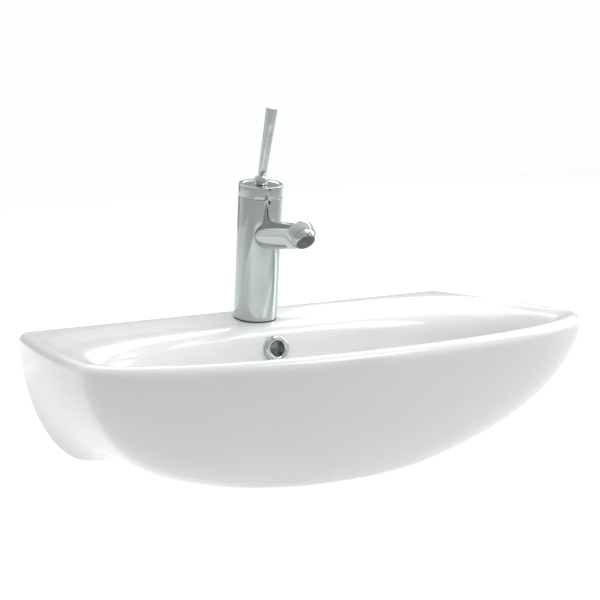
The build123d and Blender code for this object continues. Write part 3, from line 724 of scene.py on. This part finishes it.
def add_piece(obj, body, slot, made, *nodes):
    dress(obj, made)
    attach(obj, body)
    if nodes:
        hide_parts(*nodes)
    return obj


def add_camera():
    """Camera at the photograph's angle and distance, with its slight roll."""
    azimuth, elevation, roll = (math.radians(v) for v in (-28.37, 8.873, -1.0))
    target = Vector((-0.030022, -0.200, 0.120364))
    distance, lens = 2.0, 113.773
    back = Vector(
        (math.sin(azimuth) * math.cos(elevation), -math.cos(azimuth) * math.cos(elevation), math.sin(elevation))
    )
    right = Vector((math.cos(azimuth), math.sin(azimuth), 0))
    up = back.cross(right)
    turned = math.cos(roll) * right + math.sin(roll) * up
    data = bpy.data.cameras.new("photo_camera")
    data.lens, data.sensor_width = lens, 36.0
    data.clip_start, data.clip_end = 0.05, 60.0
    camera = bpy.data.objects.new("photo_camera", data)
    matrix = Matrix((turned, back.cross(turned), back)).transposed().to_4x4()
    matrix.translation = target + back * distance
    camera.matrix_world = matrix
    bpy.context.scene.collection.objects.link(camera)
    bpy.context.scene.camera = camera
    bpy.context.scene.view_settings.view_transform = "Standard"


def add_light(name, place, aim, size, watts, colour=(1, 1, 1)):
    data = bpy.data.lights.new(name, "AREA")
    data.shape, data.size, data.size_y = "RECTANGLE", size[0], size[1]
    data.energy, data.color = watts, colour
    light = bpy.data.objects.new(name, data)
    bpy.context.scene.collection.objects.link(light)
    light.location = place
    light.rotation_mode = "QUATERNION"
    light.rotation_quaternion = (Vector(place) - Vector(aim)).to_track_quat("Z", "Y")
    return light


def add_sky():
    """Soft surroundings, brightest behind the object and dimmer on the viewer's right."""
    world = bpy.data.worlds.new("studio")
    bpy.context.scene.world = world
    world.use_nodes = True
    tree = world.node_tree
    direction = tree.nodes.new("ShaderNodeTexCoord")
    towards = tree.nodes.new("ShaderNodeVectorMath")
    towards.operation = "DOT_PRODUCT"
    towards.inputs[1].default_value = DIM_SIDE
    level = tree.nodes.new("ShaderNodeMapRange")
    level.inputs["From Min"].default_value = -0.3
    level.inputs["From Max"].default_value = 0.6
    level.inputs["To Min"].default_value = SKY_BRIGHT
    level.inputs["To Max"].default_value = SKY_DIM
    tree.links.new(direction.outputs["Generated"], towards.inputs[0])
    tree.links.new(towards.outputs["Value"], level.inputs["Value"])
    tree.links.new(level.outputs["Result"], tree.nodes["Background"].inputs["Strength"])
    tree.nodes["Background"].inputs["Color"].default_value = (0.985, 1.0, 0.995, 1)


def add_card(name, centre, width, height, turn, made):
    """Dark card that shows only in what the chrome and the glaze reflect."""
    card = mesh_object(
        name,
        [(-width / 2, 0, -height / 2), (width / 2, 0, -height / 2), (width / 2, 0, height / 2), (-width / 2, 0, height / 2)],
        [(0, 1, 2, 3)],
    )
    card.rotation_euler = (0, 0, math.radians(turn))
    card.location = centre
    card.visible_camera = False
    dress(card, made)


def add_studio():
    floor = mesh_object(
        "studio_floor",
        [(-7, -7, FLOOR_Z), (9, -7, FLOOR_Z), (9, 9, FLOOR_Z), (-7, 9, FLOOR_Z)],
        [(0, 1, 2, 3)],
    )
    dress(floor, pale_floor())
    add_sky()
    aim = (0, -0.2, 0.1)
    add_light("overhead", (2.5, 4.0, 4.0), (2.5, 4.0, 0), (8, 6), OVERHEAD_WATTS)
    add_light("front", (1.0, -1.5, 2.4), aim, (1.3, 1.3), FRONT_WATTS)
    add_light("side", (2.0, -0.3, 1.1), aim, (0.9, 1.4), SIDE_WATTS)
    dark = material("dark_card", (0.03, 0.03, 0.03), roughness=0.8)[0]
    grey = material("grey_card", (0.45, 0.46, 0.46), roughness=0.8)[0]
    add_card("studio_card_right", (0.62, -1.75, 0.5), 0.34, 1.5, 18, dark)
    add_card("studio_card_low", (1.6, 3.2, 0.55), 6.0, 1.3, 0, grey)
    add_card("studio_card_high", (1.45, 3.15, 1.75), 0.9, 1.1, 0, grey)


MATERIALS = {
    "glaze": glaze(),
    "chrome": polished_chrome(),
    "rubber": black_rubber(),
    "nut_plastic": moulded_plastic("dark_nut_plastic", (0.02, 0.02, 0.022), (0.035, 0.035, 0.037)),
    "inner_plastic": moulded_plastic("pale_inner_plastic", (0.62, 0.61, 0.58), (0.72, 0.71, 0.69)),
    "zinc_steel": plated_steel("zinc_plated_steel", (0.45, 0.46, 0.48), (0.62, 0.62, 0.60)),
    "brass": plated_steel("turned_brass", (0.60, 0.42, 0.16), (0.75, 0.56, 0.26)),
    "stem_steel": plated_steel("turned_steel", (0.42, 0.43, 0.44), (0.58, 0.59, 0.60)),
    "aerator_mesh": moulded_plastic("grey_aerator_mesh", (0.17, 0.18, 0.18), (0.30, 0.31, 0.31)),
}
ROOT = "basin_and_fixed_pieces"
for piece in frame["record"]["subparts"]:
    dress(frame["nodes"][piece["node"]], MATERIALS[piece["material_slot"]])

add_piece(make_basin(), ROOT, "glaze", MATERIALS["glaze"], "basin")
add_piece(make_overflow_ring(), ROOT, "chrome", MATERIALS["chrome"], "overflow_ring")
add_piece(make_tap_body(), ROOT, "chrome", MATERIALS["chrome"], "tap_body")
add_piece(make_spout_collar(), ROOT, "chrome", MATERIALS["chrome"], "spout_collar")
add_piece(make_nozzle_ball(), "nozzle", "chrome", MATERIALS["chrome"], "aerator_ball")
add_piece(make_aerator_weave(), "nozzle", "aerator_mesh", MATERIALS["aerator_mesh"])
add_piece(make_handle_cap(), "handle", "chrome", MATERIALS["chrome"], "handle_cap")
add_piece(make_lever_ball(), "lever", "chrome", MATERIALS["chrome"], "lever_ball")
add_piece(make_lever_pin(), "lever", "chrome", MATERIALS["chrome"], "lever_pin")
add_studio()
add_camera()
